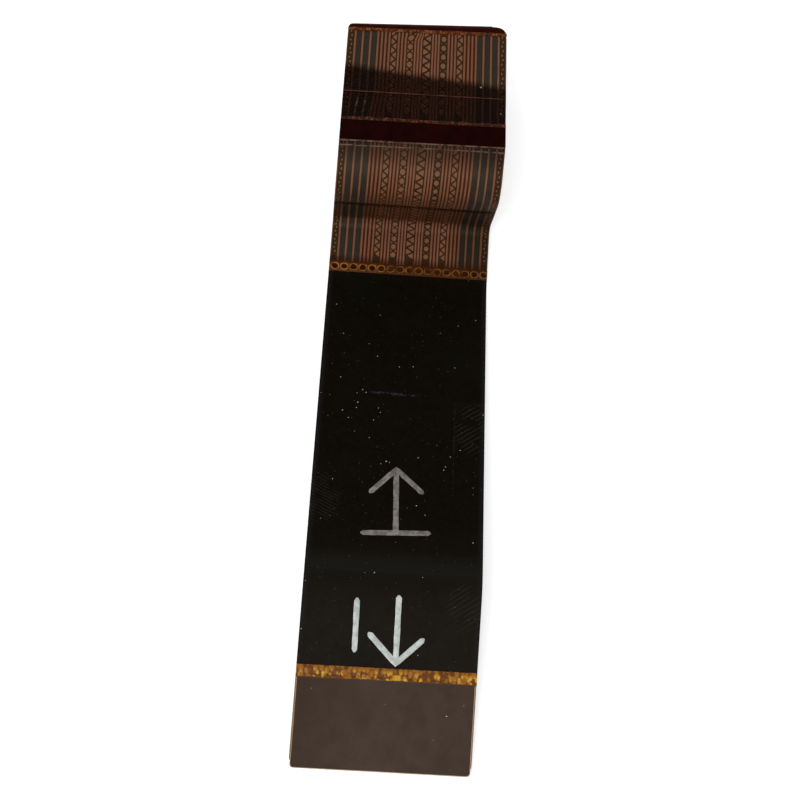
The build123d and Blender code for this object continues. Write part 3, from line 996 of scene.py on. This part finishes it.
def build_strip():
    """The dark red strip, the pale lines at its front fold and the thin glue line behind it."""
    wide = spread(-half_width, half_width, 60)
    front = 0.1 * mm
    strip = Piece("red_strip_film")
    strip.band(wide, stations(strip_start + front, strip_end, 0.3 * mm), coverlay_top, film_top)
    strip.band(wide, [strip_start, strip_start + front * 0.4, strip_start + front], coverlay_top,
               lambda x, s: film_top if s > strip_start + front * 0.2 else film_top - 0.02 * mm, slot=1)
    strip.build([shaded_strip_red, white_crease], "red_film", ["red_cover_strip"])
    fold = Piece("fold_pale_line")
    low = ragged(strip_start - 0.36 * mm, 0.03 * mm, 3.3)
    high = ragged(strip_start - 0.27 * mm, 0.03 * mm, 3.3)
    fold.band(wide, [low, lambda x: (low(x) + high(x)) / 2, high], coverlay_top - sink,
              coverlay_top + 0.014 * mm)
    fold.build([white_crease], "red_film")
    ridge = Piece("ridge_pale_line")
    edges = [ragged(ridge_station + away, 0.015 * mm, 6.1) for away in (-0.05 * mm, 0.05 * mm)]
    ridge.band(wide, edges, coverlay_top - sink, coverlay_top + 0.008 * mm)
    ridge.build([ridge_look], "clear_coverlay")


def build_plate():
    """The stiffener: a flat board with two rounded corners and a pale cut edge."""
    left, right = -half_width + plate_inset, half_width - plate_inset
    outline = [(right, plate_length), (left, plate_length)]
    corners = ((left + plate_corner_radius, 180, 270), (right - plate_corner_radius, 270, 360))
    for x, first, last in corners:
        for angle in spread(math.radians(first), math.radians(last), 8):
            outline.append((x + plate_corner_radius * math.cos(angle),
                            plate_corner_radius + plate_corner_radius * math.sin(angle)))
    piece = Piece("stiffener_board")
    piece.prism(outline, coverlay_top, coverlay_top + plate_thickness, rim=0.07 * mm, rim_slot=1)
    piece.build([plate_look, plate_edge], "plate", ["stiffener_plate"], sharp=50, trim=False)


def add_bracket(piece, low_x, high_x, spot):
    """A bent strip of metal between two places across. spot gives (x, station, height) for a place
    across, one along its foot and one up its leg."""
    thick, bend = contact_thickness, 1.6 * contact_thickness
    outline = [(contact_foot, 0)]
    outline += [(bend * (1 - math.cos(a)), bend * (1 - math.sin(a)))
                for a in (math.radians(v) for v in (90, 67, 45, 22, 0))]
    outline += [(0, contact_leg), (thick, contact_leg), (thick, bend), (bend, thick), (contact_foot, thick)]
    n = len(outline)
    points = [spot(side, a, b) for side in (low_x, high_x) for a, b in outline]
    faces = [[i, (i + 1) % n, n + (i + 1) % n, n + i] for i in range(n)]
    faces += [list(reversed(range(n))), [n + i for i in range(n)]]
    piece.add(points, faces)


def build_plug(name, middle):
    """A board plug on the cable's table side: its moulding, its two rows of contacts and its tabs."""
    half_l, half_w = plug_length / 2, plug_width / 2
    cut, inner_cut = plug_corner_cut, 0.12 * mm

    def outline(inset, corner):
        a, b = half_l - inset, half_w - inset
        return [(-a + corner, middle - b), (a - corner, middle - b), (a, middle - b + corner),
                (a, middle + b - corner), (a - corner, middle + b), (-a + corner, middle + b),
                (-a, middle + b - corner), (-a, middle - b + corner)]

    shell = Piece(f"{name}_moulding")
    rows = [(0, cut, 0), (0, cut, plug_height - 0.06 * mm), (0.05 * mm, cut, plug_height),
            (plug_rim - 0.06 * mm, inner_cut, plug_height), (plug_rim, inner_cut, plug_height - 0.08 * mm),
            (plug_rim, inner_cut, plug_height - plug_pocket_depth)]
    points = [(x, s, base_low - depth) for inset, corner, depth in rows for x, s in outline(inset, corner)]
    faces = [[j * 8 + i, (j + 1) * 8 + i, (j + 1) * 8 + (i + 1) % 8, j * 8 + (i + 1) % 8]
             for j in range(len(rows) - 1) for i in range(8)]
    faces += [list(range(8)), [(len(rows) - 1) * 8 + i for i in reversed(range(8))]]
    shell.add(points, faces)
    shell.build([plug_look], "plug_moulding", [f"{name}_housing"], bevel=0.03 * mm)
    pins, ends = Piece(f"{name}_pins"), Piece(f"{name}_hold_downs")
    for i in range(contact_count):
        x = (i - (contact_count - 1) / 2) * contact_pitch
        for side in (-1, 1):
            add_bracket(pins, x - contact_width / 2, x + contact_width / 2,
                        lambda a, along, up, side=side: (a, middle + side * (half_w + along), base_low - up))
    for side in (-1, 1):
        add_bracket(ends, -tab_width / 2, tab_width / 2,
                    lambda a, along, up, side=side: (side * (half_l + along), middle + a, base_low - up))
    pins.build([gold_contact], "contact_metal", [f"{name}_contacts"], sharp=50)
    ends.build([tin_tab], "contact_metal", [f"{name}_tabs"], sharp=50)


def build_stroke(piece, path, width, low, high):
    """A marker stroke along a path of (x, station), with round ends and a slightly uneven width."""
    samples = []
    for (x1, s1), (x2, s2) in zip(path, path[1:]):
        count = max(2, int(math.hypot(x2 - x1, s2 - s1) / (0.25 * mm)))
        samples += [(x1 + (x2 - x1) * i / count, s1 + (s2 - s1) * i / count) for i in range(count)]
    samples.append(path[-1])
    total = len(samples) - 1
    points, faces = [], []
    for i, (x, s) in enumerate(samples):
        x1, s1 = samples[max(i - 1, 0)]
        x2, s2 = samples[min(i + 1, total)]
        size = math.hypot(x2 - x1, s2 - s1)
        across = (-(s2 - s1) / size, (x2 - x1) / size)
        end = min(i, total - i) * 0.25 * mm / (width / 2)
        half = width / 2 * (math.sqrt(1 - (1 - end) ** 2) if end < 1 else 1.0)
        half = max(half, 0.16 * width) * (1 + 0.12 * noise.noise((x / mm * 1.5, s / mm * 1.5, 7.7)))
        for share, height in ((-1, low), (-0.8, high), (0.8, high), (1, low)):
            points.append((x + across[0] * half * share, s + across[1] * half * share, height))
    for i in range(total):
        a = 4 * i
        faces += [[a + k + 4, a + k + 5, a + k + 1, a + k] for k in range(3)]
        faces.append([a + 7, a + 4, a, a + 3])
    faces += [[1, 2, 3, 0], [4 * total + k for k in (3, 2, 1, 0)]]
    piece.add(points, faces)


def build_marks():
    """Two plain arrows in marker paint, one towards each end, where the real cable was marked by hand."""
    thickness = 0.018 * mm
    stroke = 0.52 * mm
    marks = {
        "marker_arrow_near": (white_ink, [[(0.6, 15.4), (0.7, 9.6)], [(-1.9, 12.0), (0.7, 9.4), (3.1, 11.7)],
                                          [(-3.0, 10.2), (-3.1, 15.0)]]),
        "marker_arrow_far": (grey_ink, [[(0.0, 21.3), (-0.2, 27.9)],
                                        [(-2.6, 25.4), (-0.2, 28.1), (2.4, 25.6)],
                                        [(-3.2, 21.2), (3.2, 21.5)]]),
    }
    for name, (ink, strokes) in marks.items():
        piece = Piece(name)
        for i, path in enumerate(strokes):
            build_stroke(piece, [(x * mm, s * mm) for x, s in path], stroke, film_top - sink,
                         film_top + thickness + i * 0.002 * mm)
        piece.build([ink], "black_film", sharp=60)


def build_specks():
    """Loose dust grains on the windows, the stiffener and the black film."""
    face = coverlay_top + plate_thickness
    grains = [(5.5, 77.0, 0.08, coverlay_top), (7.5, 73.7, 0.05, coverlay_top),
              (-2.8, 59.2, 0.06, coverlay_top), (-2.5, 58.9, 0.045, coverlay_top),
              (-2.1, 59.7, 0.035, coverlay_top), (5.5, 5.1, 0.08, face), (4.5, 3.0, 0.045, face),
              (-6.5, 6.9, 0.04, face), (-1.4, 65.2, 0.03, coverlay_top)]
    on_film = [(-3.8, 36.8, 0.06), (-4.2, 35.3, 0.075), (-4.3, 34.7, 0.05), (-5.6, 34.3, 0.06),
               (-5.0, 33.5, 0.065), (-2.2, 34.8, 0.045), (-2.0, 34.3, 0.045), (-2.6, 33.4, 0.055),
               (-2.9, 31.4, 0.045), (-1.2, 28.9, 0.08), (-0.9, 28.8, 0.05), (4.2, 28.3, 0.06),
               (4.8, 29.8, 0.045), (5.7, 30.6, 0.055), (-0.4, 39.7, 0.05), (5.0, 40.0, 0.05),
               (-6.0, 38.1, 0.045)]
    grains += [(x, station, radius, film_top) for x, station, radius in on_film]
    piece = Piece("dust_grains")
    for x, station, radius, low in grains:
        outline = ring(x * mm, station * mm, radius * mm, radius * 0.85 * mm, 8)
        piece.prism(outline, low - sink, low + 0.02 * mm, rim=radius * 0.4 * mm)
    piece.build([speck_look], "clear_coverlay", sharp=60, trim=False)


def build_floor():
    """A pale table, lit as it is, with its own brightness raised a little for the camera alone."""
    size, pale, white = 2.0, (0.86, 0.86, 0.86, 1.0), (1.0, 1.0, 1.0, 1.0)
    mesh = bpy.data.meshes.new("floor")
    corners = [(-size, -size, 0), (size, -size, 0), (size, size, 0), (-size, size, 0)]
    mesh.from_pydata(corners, [], [(0, 1, 2, 3)])
    paint = Paint("floor_white", roughness=0.9, specular=0.0)
    spot = paint.value("ShaderNodeTexCoord", output="Object")
    away = paint.value("ShaderNodeVectorMath", {0: spot}, "Value", operation="LENGTH")
    inputs = {"Value": away, "From Min": 0.05, "From Max": 0.45, "To Min": 0.5, "To Max": 0.8}
    glow = paint.value("ShaderNodeMapRange", inputs)
    seen = paint.value("ShaderNodeLightPath", output="Is Camera Ray")
    settings = {"Base Color": pale, "Specular Tint": white, "Emission Color": white,
                "Emission Strength": glow * seen}
    for name, value in settings.items():
        paint.feed(paint.shader.inputs[name], value)
    mesh.materials.append(paint.material)
    put("floor", mesh)


def build_light():
    """Plain soft light: a wide lamp over the front, a weaker one from the left, and an even sky."""
    lamps = [("key", (-0.10, -0.20, 0.36), 0.26, 0.96), ("fill", (-0.34, 0.02, 0.22), 0.30, 0.27),
             ("side", (0.30, 0.06, 0.26), 0.26, 0.22)]
    for name, spot, size, power in lamps:
        lamp = bpy.data.lights.new(name, "AREA")
        lamp.shape, lamp.size, lamp.energy = "DISK", size, power
        holder = put(name, lamp)
        holder.location = spot
        holder.rotation_mode = "QUATERNION"
        holder.rotation_quaternion = (-Vector(spot)).to_track_quat("-Z", "Y")
    world = bpy.data.worlds.new("studio")
    bpy.context.scene.world = world
    world.use_nodes = True
    tree = world.node_tree
    sky = tree.nodes["Background"]
    path = tree.nodes.new("ShaderNodeLightPath")
    level = tree.nodes.new("ShaderNodeMapRange")
    level.inputs["To Min"].default_value = 0.36
    level.inputs["To Max"].default_value = 1.0
    tree.links.new(path.outputs["Is Camera Ray"], level.inputs["Value"])
    sky.inputs["Color"].default_value = (1, 1, 1, 1)
    tree.links.new(level.outputs[0], sky.inputs["Strength"])


def build_camera():
    """The photograph's view: nearly overhead, from the front, a little turned and rolled."""
    yaw, pitch, roll = (math.radians(a) for a in (6.44, 25.49, 10.42))
    arch_start = chain[1]["point"]
    spot = Vector((-7.57 * mm, arch_start[0] - 44.78 * mm, arch_start[1] + 135.97 * mm))
    camera = bpy.data.cameras.new("camera")
    camera.sensor_width = 36.0
    camera.lens = 71.96
    camera.clip_start, camera.clip_end = 0.005, 10.0
    holder = put("camera", camera)
    holder.matrix_world = (Matrix.Translation(spot) @ Matrix.Rotation(-yaw, 4, "Z")
                           @ Matrix.Rotation(pitch, 4, "X") @ Matrix.Rotation(roll, 4, "Z"))
    bpy.context.scene.camera = holder


build_camera()
build_light()
build_floor()
all_tracks = track_layout()
build_films()
build_coverlay(all_tracks)
build_tracks(all_tracks)
build_bead("glue_at_plate", "plate_glue_bead", plate_length - 0.06 * mm, film_start, gold_glue,
           lump=0.46 * mm, seed=2.0, front=0.12 * mm, back=0.04 * mm, wall=plate_thickness + 0.012 * mm)
build_oval_bead()
build_bead("glue_at_strip", "strip_glue_bead", strip_end, strip_bead_end, brown_glue,
           lump=0.3 * mm, seed=4.0, front=0.05 * mm, back=0.08 * mm, crest=0.09 * mm)
build_bead("glue_at_end", "end_glue_bead", end_bead_start, end_bead_end, amber_glue,
           lump=0.26 * mm, seed=6.0, front=0.08 * mm, back=0.05 * mm)
build_strip()
build_plate()
build_plug("near_plug", plug_setback + plug_width / 2)
build_plug("tail_plug", cable_length - tail_plug_setback - plug_width / 2)
build_marks()
build_specks()

bpy.context.scene.view_settings.view_transform = "Standard"
